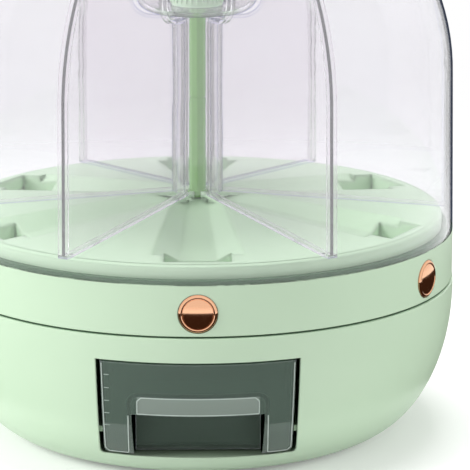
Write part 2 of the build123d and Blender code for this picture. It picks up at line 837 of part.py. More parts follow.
# Return springs: one wire wound in half turns, each half turn a pair of tangent arcs
with BuildPart() as return_spring:
    with BuildLine() as coil:
        for half_turn in range(2 * spring_turns):
            start, end = coil_point(half_turn / 2), coil_point((half_turn + 1) / 2)
            leave, arrive = coil_tangent(half_turn / 2), coil_tangent((half_turn + 1) / 2)
            chord = end - start
            lean = chord.dot(leave + arrive)
            spread = 2 * (1 - leave.dot(arrive))
            handle = (sqrt(lean**2 + spread * chord.dot(chord)) - lean) / spread
            first, second = start + leave * handle, end - arrive * handle
            middle = (first + second) * 0.5
            TangentArc(start, middle, tangent=leave)
            TangentArc(middle, end, tangent=second - first)
    with BuildSketch(Plane(coil.line @ 0, z_dir=coil.line % 0)):
        Circle(spring_wire / 2)
    sweep()
save_turned(return_spring.part, "return_spring")
coil_samples = [coil_point(spring_turns * index / 400) for index in range(401)]
apart = 400 // spring_turns // 2
coil_gap = min(
    (coil_samples[one] - coil_samples[two]).length - spring_wire
    for one in range(401)
    for two in range(one + apart, 401)
)
print(f"least gap between the turns of a return spring: {coil_gap:.2f} mm")

# Centre rod: stands on the tray, its stud held by a nut under the floor
rod_top = cup_floor + cup_wall + knob_bore_depth
with BuildPart() as center_rod:
    with BuildSketch(Plane.XY.offset(rod_seat)):
        RegularPolygon(rod_radius, rod_sides)
    extrude(amount=rod_top - rod_seat)
    with BuildSketch(Plane.XY.offset(ring_top + rod_groove_height)):
        Circle(rod_collar_radius)
        Circle(rod_radius - rod_groove, mode=Mode.SUBTRACT)
    extrude(amount=rod_groove, mode=Mode.SUBTRACT)
    with BuildSketch(Plane.XY.offset(rod_seat)):
        Circle(rod_collar_radius)
    extrude(amount=rod_collar)
    with BuildSketch(Plane.XY.offset(rod_seat)):
        Circle(rod_stud_radius)
    extrude(amount=-rod_stud_length)
save(center_rod.part, "center_rod")
with BuildPart() as rod_nut:
    with BuildSketch(Plane.XY.offset(boss_bottom)):
        RegularPolygon(rod_nut_across_flats / 2, 6, major_radius=False)
        Circle(rod_stud_radius + shaft_gap, mode=Mode.SUBTRACT)
    extrude(amount=-rod_nut_height)
save(rod_nut.part, "rod_nut")

# Divider hub: a tube round the rod with a cup on top, and six grooves for the dividers
hub_bottom = cone_height(hub_radius - hub_wall) + seat_gap
groove_floor = hub_radius - hub_groove
with BuildPart() as divider_hub:
    with BuildSketch(Plane.XZ):
        with BuildLine():
            Polyline(
                (hub_radius - hub_wall, hub_bottom),
                (hub_radius, hub_bottom),
                (hub_radius, cup_floor),
                (cup_radius - cup_round, cup_floor),
            )
            RadiusArc(
                (cup_radius - cup_round, cup_floor), (cup_radius, cup_floor + cup_round), -cup_round
            )
            Line((cup_radius, cup_floor + cup_round), (cup_radius, cup_floor + cup_height))
            Line(
                (cup_radius, cup_floor + cup_height),
                (cup_radius - cup_wall, cup_floor + cup_height),
            )
            Line(
                (cup_radius - cup_wall, cup_floor + cup_height),
                (cup_radius - cup_wall, cup_floor + cup_round),
            )
            RadiusArc(
                (cup_radius - cup_wall, cup_floor + cup_round),
                (cup_radius - cup_round, cup_floor + cup_wall),
                cup_round - cup_wall,
            )
            Polyline(
                (cup_radius - cup_round, cup_floor + cup_wall),
                (rod_radius + running_gap, cup_floor + cup_wall),
                (rod_radius + running_gap, cup_floor),
                (hub_radius - hub_wall, cup_floor),
                (hub_radius - hub_wall, hub_bottom),
            )
        make_face()
    revolve(axis=Axis.Z)
    with BuildSketch(Plane.XY.offset(hub_bottom)):
        with PolarLocations(groove_floor + hub_groove, compartments):
            Rectangle(2 * hub_groove, divider_thickness + 2 * seat_gap)
    extrude(amount=cup_floor - hub_bottom, mode=Mode.SUBTRACT)
save(divider_hub.part, "divider_hub")
with BuildPart() as hub_knob:
    with BuildSketch(Plane.XY.offset(cup_floor + cup_wall)):
        Circle(knob_radius)
    extrude(amount=knob_height)
    fillet(hub_knob.edges().group_by(Axis.Z)[-1], radius=cup_wall)
    with BuildSketch(Plane.XY.offset(cup_floor + cup_wall)):
        Circle(rod_radius + shaft_gap)
    extrude(amount=knob_bore_depth + shaft_gap, mode=Mode.SUBTRACT)
save(hub_knob.part, "hub_knob")


def dome_radius(inset, height):
    """Radius of the dome's surface, moved inwards by inset, at a height above the ground."""
    if height <= dome_shoulder:
        return body_radius - inset - dome_draft * (height - ring_top) / dome_straight
    return dome_arc_centre + sqrt((dome_arc - inset) ** 2 - (height - dome_shoulder) ** 2)


def dome_edge(inset, bottom, top):
    """Draw the dome's outline, moved inwards by inset, between two heights."""
    shoulder = (dome_shoulder_radius - inset, dome_shoulder)
    Line((dome_radius(inset, bottom), bottom), shoulder)
    TangentArc(shoulder, (dome_radius(inset, top), top), tangent=(0, 1))


# Dividers: clear panels on the tray's ridges, with a flange all round except at the hub
panel_inset = clear_wall + divider_dome_gap
panel_inner = groove_floor + seat_gap
flange_inner = hub_radius + seat_gap
foot_inset = rim_radius - rim_width
panel_foot = rim_top + seat_gap
with BuildPart() as divider:
    with BuildSketch(Plane.XZ) as panel:
        with BuildLine():
            dome_edge(panel_inset, panel_foot, panel_top)
            Polyline(
                (dome_radius(panel_inset, panel_top), panel_top),
                (cup_radius + cup_wall, panel_top),
                (cup_radius + cup_wall, cup_floor + cup_round),
            )
            RadiusArc(
                (cup_radius + cup_wall, cup_floor + cup_round),
                (cup_radius - cup_round, cup_floor - cup_wall),
                cup_round + cup_wall,
            )
            Polyline(
                (cup_radius - cup_round, cup_floor - cup_wall),
                (panel_inner, cup_floor - cup_wall),
                (panel_inner, cone_height(panel_inner) + seat_gap),
                (foot_inset, cone_height(foot_inset) + seat_gap),
                (foot_inset, panel_foot),
                (dome_radius(panel_inset, panel_foot), panel_foot),
            )
        make_face()
    extrude(amount=divider_thickness / 2, both=True)
    with BuildSketch(Plane.XZ):
        add(panel.sketch_local)
        offset(panel.sketch_local, amount=-divider_flange, mode=Mode.SUBTRACT)
        with Locations((flange_inner - far / 2, panel_top)):
            Rectangle(far, 2 * far, mode=Mode.SUBTRACT)
    extrude(amount=divider_flange_half, both=True)
save_turned(divider.part, "divider")

# Dome: a clear shell that stands on the ring, with a collar round its mouth
mouth_inside = mouth_radius - clear_wall
with BuildPart() as dome:
    with BuildSketch(Plane.XZ):
        with BuildLine():
            dome_edge(0, ring_top, mouth_height)
            inner_mouth = dome_shoulder + sqrt(
                (dome_arc - clear_wall) ** 2 - (mouth_inside - dome_arc_centre) ** 2
            )
            Polyline(
                (mouth_radius, mouth_height),
                (mouth_radius, collar_top),
                (mouth_inside, collar_top),
                (mouth_inside, inner_mouth),
            )
            dome_edge(clear_wall, ring_top, inner_mouth)
            Line((body_radius - clear_wall, ring_top), (body_radius, ring_top))
        make_face()
    revolve(axis=Axis.Z)
save(dome.part, "dome")

# Dome seal: a ring on the flange between the tray's skirt and the dome
with BuildPart() as dome_seal:
    with BuildSketch(Plane.XY.offset(ring_top)):
        Circle(body_radius - clear_wall - seat_gap)
        Circle(rim_radius + seat_gap, mode=Mode.SUBTRACT)
    extrude(amount=seal_height)
save(dome_seal.part, "dome_seal")

# Lid: a shallow crown with a skirt outside the collar and a plug inside it
plug_outer = mouth_inside - lid_seal_radius
plug_inner = plug_outer - lid_wall
lid_inside = mouth_radius + running_gap * 2
lid_radius = lid_inside + lid_overhang
lid_top = collar_top + lid_wall
crown_top = lid_top + lid_crown
with BuildPart() as lid:
    with BuildSketch(Plane.XZ):
        with BuildLine():
            Polyline(
                (lid_knob_neck, crown_top - lid_wall),
                (0, crown_top - lid_wall),
                (0, crown_top),
                (lid_knob_neck, crown_top),
            )
            TangentArc((lid_knob_neck, crown_top), (lid_radius, lid_top), tangent=(1, 0))
            Polyline(
                (lid_radius, lid_top),
                (lid_radius, collar_top - lid_skirt),
                (lid_inside, collar_top - lid_skirt),
                (lid_inside, collar_top),
                (plug_outer, collar_top),
                (plug_outer, collar_top - lid_plug),
                (plug_inner, collar_top - lid_plug),
                (plug_inner, collar_top),
            )
            TangentArc(
                (lid_knob_neck, crown_top - lid_wall), (plug_inner, collar_top), tangent=(1, 0)
            )
        make_face()
    revolve(axis=Axis.Z)
    with BuildSketch(Plane.XY):
        Circle(knob_screw_radius + shaft_gap)
    extrude(amount=far * 2, mode=Mode.SUBTRACT)
save(lid.part, "lid")

# Lid seal: a soft ring round the plug
with BuildPart() as lid_seal:
    with BuildSketch(Plane.XY.offset(collar_top - lid_plug / 2 - lid_seal_height / 2)):
        Circle(mouth_inside - running_gap)
        Circle(plug_outer, mode=Mode.SUBTRACT)
    extrude(amount=lid_seal_height)
save(lid_seal.part, "lid_seal")

# Lid knob: a waisted grip on the crown, held by a screw from inside the lid
knob_top = crown_top + lid_knob_height
with BuildPart() as lid_knob:
    with BuildSketch(Plane.XY.offset(crown_top)):
        Circle(lid_knob_neck)
    extrude(amount=lid_knob_height)
    with BuildSketch(Plane.XY.offset(knob_top - lid_knob_cap)):
        Circle(lid_knob_radius)
    extrude(amount=lid_knob_cap)
    fillet(lid_knob.edges().group_by(Axis.Z)[-1], radius=lid_knob_cap / 2)
    cap_under = lid_knob.edges().filter_by_position(
        Axis.Z, knob_top - lid_knob_cap, knob_top - lid_knob_cap
    )
    fillet(cap_under.sort_by(Edge.length)[-1], radius=lid_knob_cap / 4)
    fillet(cap_under.sort_by(Edge.length)[0], radius=lid_knob_cap / 2)
    with BuildSketch(Plane.XY.offset(crown_top)):
        Circle(knob_screw_radius + shaft_gap)
    extrude(amount=knob_screw_depth + running_gap, mode=Mode.SUBTRACT)
save(lid_knob.part, "lid_knob")
with BuildPart() as knob_screw:
    with BuildSketch(Plane.XY.offset(crown_top - lid_wall)):
        Circle(knob_screw_radius)
    extrude(amount=lid_wall + knob_screw_depth)
    with BuildSketch(Plane.XY.offset(crown_top - lid_wall)):
        Circle(knob_screw_head)
    extrude(amount=-knob_screw_radius)
save(knob_screw.part, "knob_screw")
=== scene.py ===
"""Looks of a rotating cereal dispenser: a moulded bowl that carries a clear, turning hopper."""

import logging
import math
from dataclasses import dataclass
from enum import Enum
from typing import Any, Iterable, Sequence

import bmesh
import bpy
from mathutils import Matrix, Vector


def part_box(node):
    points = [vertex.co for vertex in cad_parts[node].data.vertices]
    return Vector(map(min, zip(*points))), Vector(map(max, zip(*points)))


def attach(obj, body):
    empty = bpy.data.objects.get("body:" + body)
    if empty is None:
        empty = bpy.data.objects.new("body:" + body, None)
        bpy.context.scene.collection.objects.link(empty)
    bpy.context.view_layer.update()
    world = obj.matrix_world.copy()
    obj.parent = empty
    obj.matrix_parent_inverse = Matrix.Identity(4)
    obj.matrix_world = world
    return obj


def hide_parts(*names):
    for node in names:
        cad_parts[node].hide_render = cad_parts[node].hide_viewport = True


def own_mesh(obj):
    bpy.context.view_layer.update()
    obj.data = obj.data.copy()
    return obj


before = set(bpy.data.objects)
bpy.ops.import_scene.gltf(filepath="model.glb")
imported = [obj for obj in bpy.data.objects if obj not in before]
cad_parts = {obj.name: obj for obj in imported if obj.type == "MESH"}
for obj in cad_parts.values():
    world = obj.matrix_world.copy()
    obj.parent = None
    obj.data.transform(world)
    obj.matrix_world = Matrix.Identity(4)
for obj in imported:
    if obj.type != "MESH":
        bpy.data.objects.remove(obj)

LOG = logging.getLogger("dispenser")
MM = 0.001
COMPARTMENTS = 6
GRAIN_DETAIL = 3.0
BEVEL_SAMPLES = 8
WELD_M = 1e-7
RAY_START_M = -1.0
RAY_LENGTH_M = 2.0
TOWARDS_BACK = (0.0, 1.0, 0.0)


class Body(str, Enum):
    """The bodies that new pieces ride on."""

    BASE = "base"
    DRAWER = "drawer"
    TURNTABLE = "turntable"


class Slot(str, Enum):
    """The record's material slots; no new piece here takes its finish from them."""

    MINT = "mint_plastic"
    STEEL = "steel"
    INK = "smoke_plastic"
    ROSE = "rose_gold"
    RUBBER = "soft_rubber"


def linear(code: str) -> tuple[float, float, float, float]:
    """Turn an sRGB hex value into linear red, green, blue and a full alpha.

    Args:
        code: a colour such as "#C2DABD".

    Returns:
        The four linear values that Blender's colour sockets take.
    """
    parts = [int(code[start:start + 2], 16) / 255 for start in (1, 3, 5)]
    red, green, blue = (
        part / 12.92 if part <= 0.04045 else ((part + 0.055) / 1.055) ** 2.4 for part in parts
    )
    return red, green, blue, 1.0


def add_node(
    tree: bpy.types.NodeTree,
    kind: str,
    settings: dict[Any, Any] | None = None,
    links: dict[Any, bpy.types.NodeSocket] | None = None,
) -> bpy.types.Node:
    """Add a node with its settings and links.

    Args:
        tree: the tree that takes the node.
        kind: Blender's name for the node's type.
        settings: values for its properties, and for its sockets by name or number.
        links: the sockets of other nodes that feed its inputs, by name or number.

    Returns:
        The new node.
    """
    node = tree.nodes.new(kind)
    for key, value in (settings or {}).items():
        if isinstance(key, str) and hasattr(node, key):
            setattr(node, key, value)
        else:
            node.inputs[key].default_value = value
    for key, source in (links or {}).items():
        tree.links.new(source, node.inputs[key])
    return node


def empty_tree(owner: bpy.types.Material | bpy.types.World) -> bpy.types.NodeTree:
    """Give a material or a world an empty node tree.

    Args:
        owner: the new material or world.

    Returns:
        Its tree, with no nodes.
    """
    owner.use_nodes = True
    owner.node_tree.nodes.clear()
    return owner.node_tree


def add_object(name: str, data: bpy.types.ID) -> bpy.types.Object:
    """Make an object at the origin and link it to the scene.

    Args:
        name: the object's name.
        data: its mesh, lamp or camera.

    Returns:
        The new object.
    """
    made = bpy.data.objects.new(name, data)
    bpy.context.scene.collection.objects.link(made)
    return made


@dataclass(frozen=True)
class Finish:
    """A surface finish: the name of its material and the parts that node trees share."""

    name: str

    def start(self) -> tuple[bpy.types.Material, bpy.types.NodeTree, bpy.types.NodeSocket]:
        """Begin the material.

        Returns:
            The empty material, its tree and the socket of the object's coordinates.
        """
        material = bpy.data.materials.new(self.name)
        tree = empty_tree(material)
        return material, tree, add_node(tree, "ShaderNodeTexCoord").outputs["Object"]

    @staticmethod
    def flow_marks(
        tree: bpy.types.NodeTree,
        place: bpy.types.NodeSocket,
        mark_mm: float,
        first: str,
        second: str,
    ) -> bpy.types.NodeSocket:
        """Add a colour that drifts between two, as the flow marks of a mould do.

        Args:
            tree: the material's tree.
            place: the coordinates that the marks follow.
            mark_mm: the size of one mark.
            first: the colour in the noise's hollows.
            second: the colour on its tops.

        Returns:
            The socket of the colour.
        """
        flow = add_node(
            tree, "ShaderNodeTexNoise", {"Scale": 1 / (mark_mm * MM)}, {"Vector": place}
        )
        mixed = add_node(
            tree,
            "ShaderNodeMix",
            {"data_type": "RGBA", 6: linear(first), 7: linear(second)},
            {"Factor": flow.outputs["Fac"]},
        )
        return mixed.outputs[2]

    @staticmethod
    def grained_gloss(
        tree: bpy.types.NodeTree,
        place: bpy.types.NodeSocket,
        grain_mm: float,
        low: float,
        high: float,
    ) -> tuple[bpy.types.NodeSocket, bpy.types.NodeSocket]:
        """Add a fine noise and the roughness that it varies.

        Args:
            tree: the material's tree.
            place: the coordinates that the noise follows.
            grain_mm: the size of one grain.
            low: the roughness in the noise's hollows.
            high: the roughness on its tops.

        Returns:
            The sockets of the noise and of the roughness.
        """
        grain = add_node(
            tree,
            "ShaderNodeTexNoise",
            {"Scale": 1 / (grain_mm * MM), "Detail": GRAIN_DETAIL},
            {"Vector": place},
        ).outputs["Fac"]
        gloss = add_node(
            tree, "ShaderNodeMapRange", {"To Min": low, "To Max": high}, {"Value": grain}
        )
        return grain, gloss.outputs["Result"]

    @staticmethod
    def end(
        tree: bpy.types.NodeTree,
        surface: bpy.types.NodeSocket,
        volume: bpy.types.NodeSocket | None = None,
    ) -> None:
        """Link the finished shader, and its depth where it has one, to the material's output.

        Args:
            tree: the material's tree.
            surface: the shader of the surface.
            volume: the shader of the depth under it.
        """
        links = {"Surface": surface}
        if volume is not None:
            links["Volume"] = volume
        add_node(tree, "ShaderNodeOutputMaterial", None, links)


@dataclass(frozen=True)
class MouldedPlastic(Finish):
    """Injection-moulded plastic: an even colour with faint flow marks under a fine satin grain."""

    colour: str
    flow_colour: str
    low_roughness: float
    high_roughness: float
    flow_mm: float = 60.0
    grain_mm: float = 0.9
    grain_depth_mm: float = 0.006
    edge_mm: float = 0.5
    ior: float = 1.53

    def material(self) -> bpy.types.Material:
        """Build the material: flow marks in the colour, grain in the gloss and the bump.

        Returns:
            The new material.
        """
        material, tree, place = self.start()
        colour = self.flow_marks(tree, place, self.flow_mm, self.colour, self.flow_colour)
        grain, gloss = self.grained_gloss(
            tree, place, self.grain_mm, self.low_roughness, self.high_roughness
        )
        edge = add_node(
            tree, "ShaderNodeBevel", {"samples": BEVEL_SAMPLES, "Radius": self.edge_mm * MM}
        )
        bump = add_node(
            tree,
            "ShaderNodeBump",
            {"Strength": 1.0, "Distance": self.grain_depth_mm * MM},
            {"Height": grain, "Normal": edge.outputs["Normal"]},
        )
        shader = add_node(
            tree,
            "ShaderNodeBsdfPrincipled",
            {"IOR": self.ior},
            {"Base Color": colour, "Roughness": gloss, "Normal": bump.outputs["Normal"]},
        )
        self.end(tree, shader.outputs["BSDF"])
        return material


@dataclass(frozen=True)
class ClearPlastic(Finish):
    """Clear moulding: bright through its wall, faintly smeared, tinted by a long way through it,
    with painted shade along its edges where the wall turns away from the eye.
    """

    tint: str
    density: float
    low_roughness: float
    high_roughness: float
    haze: float = 0.0
    haze_colour: str = "#FFFFFF"
    smear_colour: str = "#FCFDFE"
    shade: str = "#FFFFFF"
    rim_shade_colour: str = "#828894"
    rim_start: float = 0.79
    rim_end: float = 0.89
    smear_mm: float = 45.0
    ior: float = 1.5

    def colour(
        self, tree: bpy.types.NodeTree, place: bpy.types.NodeSocket
    ) -> bpy.types.NodeSocket:
        """Add the colour of the wall's haze, a little uneven as moulded plastic is.

        Args:
            tree: the material's tree.
            place: the coordinates that the colour follows.

        Returns:
            The socket of the colour.
        """
        return self.flow_marks(
            tree, place, self.smear_mm, self.haze_colour, self.smear_colour
        )

    def material(self) -> bpy.types.Material:
        """Build the material: smears and haze, a tint in its depth, and a painted shade mixed in
        where the wall turns away from the eye.

        Returns:
            The new material.
        """
        material, tree, place = self.start()
        gloss = self.grained_gloss(
            tree, place, self.smear_mm, self.low_roughness, self.high_roughness
        )[1]
        colour = self.colour(tree, place)
        wall = add_node(
            tree,
            "ShaderNodeBsdfPrincipled",
            {"Transmission Weight": 1.0 - self.haze, "IOR": self.ior},
            {"Roughness": gloss, "Base Color": colour},
        )
        # painted shade: where the wall turns away from the eye, a tinted see-through layer is mixed
        # in that darkens the edge
        slant = add_node(tree, "ShaderNodeLayerWeight").outputs["Facing"]
        rim_shade_mask = add_node(
            tree,
            "ShaderNodeMapRange",
            {"From Min": self.rim_start, "From Max": self.rim_end},
            {"Value": slant},
        )
        painted_rim_shade = add_node(
            tree, "ShaderNodeBsdfTransparent", {"Color": linear(self.rim_shade_colour)}
        )
        rimmed = add_node(
            tree,
            "ShaderNodeMixShader",
            None,
            {
                0: rim_shade_mask.outputs["Result"],
                1: wall.outputs["BSDF"],
                2: painted_rim_shade.outputs["BSDF"],
            },
        )
        path = add_node(tree, "ShaderNodeLightPath").outputs
        lets_light_in = add_node(
            tree,
            "ShaderNodeMath",
            {"operation": "MAXIMUM"},
            {0: path["Is Shadow Ray"], 1: path["Is Diffuse Ray"]},
        )
        open_wall = add_node(tree, "ShaderNodeBsdfTransparent", {"Color": linear(self.shade)})
        both = add_node(
            tree,
            "ShaderNodeMixShader",
            None,
            {
                0: lets_light_in.outputs[0],
                1: rimmed.outputs["Shader"],
                2: open_wall.outputs["BSDF"],
            },
        )
        depth = add_node(
            tree,
            "ShaderNodeVolumeAbsorption",
            {"Color": linear(self.tint), "Density": self.density},
        )
        self.end(tree, both.outputs["Shader"], depth.outputs["Volume"])
        return material


@dataclass(frozen=True)
class SmokedPlasticWithPaintedLight(ClearPlastic):
    """Smoked moulding with a painted highlight along its edges and painted light in one band on the
    lip, where the fingers pull.
    """

    highlight_colour: str = "#FFFFFF"
    edge_mm: float = 1.0
    line_starts: float = 0.99
    line_full: float = 0.9
    lip_light_colour: str = "#FFFFFF"
    lip_band_low_mm: float = 0.0
    lip_band_high_mm: float = 1.0
    lip_band_half_mm: float = 1.0
    lip_band_edge_mm: float = 0.6

    def colour(
        self, tree: bpy.types.NodeTree, place: bpy.types.NodeSocket
    ) -> bpy.types.NodeSocket:
        """Add the smoke's colour, a lighter colour painted in the band on the lip as painted light,
        and a painted highlight line along each edge.

        Args:
            tree: the material's tree.
            place: the coordinates that the band follows.

        Returns:
            The socket of the colour.
        """
        # painted light: a lighter colour fills the band on the lip, standing for light that passes
        # through the lip
        parts = add_node(tree, "ShaderNodeSeparateXYZ", None, {"Vector": place}).outputs
        middle = (self.lip_band_low_mm + self.lip_band_high_mm) / 2 * MM
        half_height = (self.lip_band_high_mm - self.lip_band_low_mm) / 2 * MM
        inside = None
        for axis, centre, half in (
            ("X", 0.0, self.lip_band_half_mm * MM), ("Z", middle, half_height)
        ):
            offset = add_node(
                tree, "ShaderNodeMath", {"operation": "SUBTRACT", 1: centre}, {0: parts[axis]}
            )
            reach = add_node(
                tree, "ShaderNodeMath", {"operation": "ABSOLUTE"}, {0: offset.outputs[0]}
            )
            band = add_node(
                tree,
                "ShaderNodeMapRange",
                {
                    "From Min": half + self.lip_band_edge_mm * MM,
                    "From Max": half - self.lip_band_edge_mm * MM,
                },
                {"Value": reach.outputs[0]},
            ).outputs["Result"]
            if inside is None:
                inside = band
            else:
                inside = add_node(
                    tree, "ShaderNodeMath", {"operation": "MULTIPLY"}, {0: inside, 1: band}
                ).outputs[0]
        mixed = add_node(
            tree,
            "ShaderNodeMix",
            {"data_type": "RGBA", 6: linear(self.haze_colour), 7: linear(self.lip_light_colour)},
            {"Factor": inside},
        )
        # painted highlight: a light line is mixed into the colour along each edge, where the rounded
        # normal turns from the plain one
        rounded = add_node(
            tree, "ShaderNodeBevel", {"samples": BEVEL_SAMPLES, "Radius": self.edge_mm * MM}
        )
        plain = add_node(tree, "ShaderNodeNewGeometry")
        agreement = add_node(
            tree,
            "ShaderNodeVectorMath",
            {"operation": "DOT_PRODUCT"},
            {0: rounded.outputs["Normal"], 1: plain.outputs["Normal"]},
        )
        edge = add_node(
            tree,
            "ShaderNodeMapRange",
            {"From Min": self.line_starts, "From Max": self.line_full},
            {"Value": agreement.outputs["Value"]},
        )
        highlighted = add_node(
            tree,
            "ShaderNodeMix",
            {"data_type": "RGBA", 7: linear(self.highlight_colour)},
            {"Factor": edge.outputs["Result"], 6: mixed.outputs[2]},
        )
        return highlighted.outputs[2]


@dataclass(frozen=True)
class PolishedMetal(Finish):
    """Metal with fine polishing marks, as plating on plastic or as bright steel."""

    colour: str
    low_roughness: float
    high_roughness: float
    mark_mm: float = 0.6

    def material(self) -> bpy.types.Material:
        """Build the material: a mirror whose gloss varies with the polishing marks.

        Returns:
            The new material.
        """
        material, tree, place = self.start()
        gloss = self.grained_gloss(
            tree, place, self.mark_mm, self.low_roughness, self.high_roughness
        )[1]
        shader = add_node(
            tree,
            "ShaderNodeBsdfPrincipled",
            {"Base Color": linear(self.colour), "Metallic": 1.0},
            {"Roughness": gloss},
        )
        self.end(tree, shader.outputs["BSDF"])
        return material


# satin mint ABS: soft broad highlights, no visible texture at arm's length
MINT_ABS = MouldedPlastic("mint_abs_satin", "#C9E0C5", "#C3DCBF", 0.3, 0.42)
# the same ABS on the tray, shaded as if the edges of its valleys were rounded broadly
TRAY_ABS = MouldedPlastic("mint_abs_tray", "#C9E0C5", "#C3DCBF", 0.3, 0.42, edge_mm=5.0)
# glossy green ABS: a tighter highlight down the rod
GREEN_ABS = MouldedPlastic("green_abs_gloss", "#78B158", "#72A953", 0.16, 0.24)
# matte ABS for the works inside the bowl and the ring
INNER_ABS = MouldedPlastic("inner_abs_matte", "#B9D3B5", "#B2CDAE", 0.45, 0.55)
# soft silicone: dull and slightly grey
SILICONE = MouldedPlastic("silicone_rubber", "#C9CDC8", "#C2C7C1", 0.6, 0.72)
# dark green rubber: a dull seal under the dome's foot; the same dark colour on a ring in the seam is
# painted shade
DARK_RUBBER_AND_SEAM_SHADE = MouldedPlastic("green_rubber_and_seam_shade", "#4C6B51", "#466349", 0.5, 0.6)
# screen-printed white ink: so thin that the smoky wall greys it
INK = MouldedPlastic("white_screen_ink", "#B4C2BA", "#9DADA4", 0.4, 0.5, flow_mm=3.0)
# painted highlight: thin light-coloured lines laid along the smoked moulding's edges
PAINTED_EDGE_HIGHLIGHT = MouldedPlastic("painted_edge_highlight", "#C6D1CB", "#BAC6C0", 0.12, 0.2)
# clear styrene: almost colourless through a wall, with a slate shade painted along an edge where the
# wall turns away from the eye
CLEAR_STYRENE = ClearPlastic("clear_styrene", "#D9DBE6", 34.0, 0.0, 0.03)
# clear styrene of the dividers: faintly milky through a panel, with a pale lavender shade painted
# along an edge where the panel turns away from the eye
PANEL_STYRENE = ClearPlastic(
    "clear_styrene_panel",
    "#B4BAE6",
    9.0,
    0.0,
    0.03,
    haze=0.055,
    haze_colour="#F9F5F8",
    smear_colour="#FDFBFD",
    rim_shade_colour="#D8DAF0",
)
# smoked styrene: a grey-green wall that still shows what is behind it, with painted highlights along
# its edges and painted light on its lip
SMOKED_STYRENE = SmokedPlasticWithPaintedLight(
    "smoked_styrene",
    "#A3B5A9",
    230.0,
    0.02,
    0.06,
    haze=0.3,
    haze_colour="#8FA598",
    shade="#98A59D",
    highlight_colour="#F2F4FF",
    lip_light_colour="#DCEAE1",
    lip_band_low_mm=44.4,
    lip_band_high_mm=55.5,
    lip_band_half_mm=33.6,
)
# rose-gold plating on the buttons: a warm, clean mirror
ROSE_GOLD = PolishedMetal("rose_gold_plate", "#F0B994", 0.05, 0.1)
# bright steel on screws, balls and springs: a greyer and softer mirror
BRIGHT_STEEL = PolishedMetal("bright_steel", "#C8C9CC", 0.15, 0.3)

FINISHES: tuple[Finish, ...] = (
    MINT_ABS,
    TRAY_ABS,
    GREEN_ABS,
    INNER_ABS,
    SILICONE,
    DARK_RUBBER_AND_SEAM_SHADE,
    INK,
    PAINTED_EDGE_HIGHLIGHT,
    CLEAR_STYRENE,
    PANEL_STYRENE,
    SMOKED_STYRENE,
    ROSE_GOLD,
    BRIGHT_STEEL,
)
MATERIALS: dict[Finish, bpy.types.Material] = {}


def dress(names: Iterable[str], material: bpy.types.Material) -> None:
    """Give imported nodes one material.

    Args:
        names: the nodes' names.
        material: the material that each of them takes.
    """
    for name in names:
        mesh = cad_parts[name].data
        mesh.materials.clear()
        mesh.materials.append(material)
        LOG.info("%s: %s", name, material.name)


def seen_rays(tree: bpy.types.NodeTree) -> bpy.types.NodeSocket:
    """Add a switch that is 1 where the eye sees something straight, mirrored or through a wall.

    Args:
        tree: the tree of the world or of a staging material.

    Returns:
        The socket of the switch.
    """
    path = add_node(tree, "ShaderNodeLightPath").outputs
    seen = path["Is Camera Ray"]
    for kind in ("Is Glossy Ray", "Is Transmission Ray"):
        seen = add_node(
            tree, "ShaderNodeMath", {"operation": "MAXIMUM"}, {0: seen, 1: path[kind]}
        ).outputs[0]
    return seen


def numbered(name: str) -> list[str]:
    """Name the copies of a piece, one for each compartment.

    Args:
        name: the name that the copies share.

    Returns:
        The numbered names, from 1.
    """
    return [f"{name}_{index + 1}" for index in range(COMPARTMENTS)]


def add_inputs(tree: bpy.types.NodeTree, kinds: dict[str, str]) -> Any:
    """Give a Geometry Nodes tree its named inputs and its geometry output.

    Args:
        tree: the new tree.
        kinds: the type of socket for each input's name.

    Returns:
        The outputs of the tree's input node, by name.
    """
    for name, kind in kinds.items():
        tree.interface.new_socket(name, in_out="INPUT", socket_type=kind)
    tree.interface.new_socket("Geometry", in_out="OUTPUT", socket_type="NodeSocketGeometry")
    return add_node(tree, "NodeGroupInput").outputs


def end_tree(
    tree: bpy.types.NodeTree, geometry: bpy.types.NodeSocket, material: bpy.types.NodeSocket
) -> None:
    """Realize a tree's instances, give them their material and end the tree.

    Args:
        tree: the tree to end.
        geometry: the geometry that it has made.
        material: the input that holds the material.
    """
    real = add_node(tree, "GeometryNodeRealizeInstances", None, {"Geometry": geometry})
    shaded = add_node(
        tree, "GeometryNodeSetMaterial", None, {"Geometry": real.outputs[0], "Material": material}
    )
    add_node(tree, "NodeGroupOutput", None, {0: shaded.outputs[0]})


def run_tree(name: str, tree: bpy.types.NodeTree, inputs: dict[str, Any]) -> bpy.types.Object:
    """Run a Geometry Nodes tree and keep what it makes as a plain mesh.

    Args:
        name: the name of the new piece.
        tree: the tree.
        inputs: a value for each of its named inputs.

    Returns:
        The new object, at the origin.
    """
    maker = add_object(f"{name}_maker", bpy.data.meshes.new(f"{name}_maker"))
    modifier = maker.modifiers.new("nodes", "NODES")
    modifier.node_group = tree
    for item in tree.interface.items_tree:
        if item.in_out == "INPUT":
            modifier[item.identifier] = inputs[item.name]
    graph = bpy.context.evaluated_depsgraph_get()
    mesh = bpy.data.meshes.new_from_object(maker.evaluated_get(graph), depsgraph=graph)
    maker.modifiers.remove(modifier)
    bpy.data.objects.remove(maker)
    mesh.name = name
    LOG.info("%s: %d faces", name, len(mesh.polygons))
    return add_object(name, mesh)


def sweep(
    tree: bpy.types.NodeTree,
    curve: bpy.types.NodeSocket,
    radius: bpy.types.NodeSocket,
    sides: int,
) -> bpy.types.NodeSocket:
    """Sweep a round section along a curve, with capped ends and smooth shading.

    Args:
        tree: the tree that takes the nodes.
        curve: the curve that the section follows.
        radius: the section's radius.
        sides: the number of steps round the section.

    Returns:
        The socket of the swept mesh.
    """
    section = add_node(
        tree, "GeometryNodeCurvePrimitiveCircle", {"Resolution": sides}, {"Radius": radius}
    )
    swept = add_node(
        tree,
        "GeometryNodeCurveToMesh",
        {"Fill Caps": True},
        {"Curve": curve, "Profile Curve": section.outputs[0]},
    )
    smooth = add_node(
        tree, "GeometryNodeSetShadeSmooth", None, {"Geometry": swept.outputs[0]}
    )
    return smooth.outputs[0]


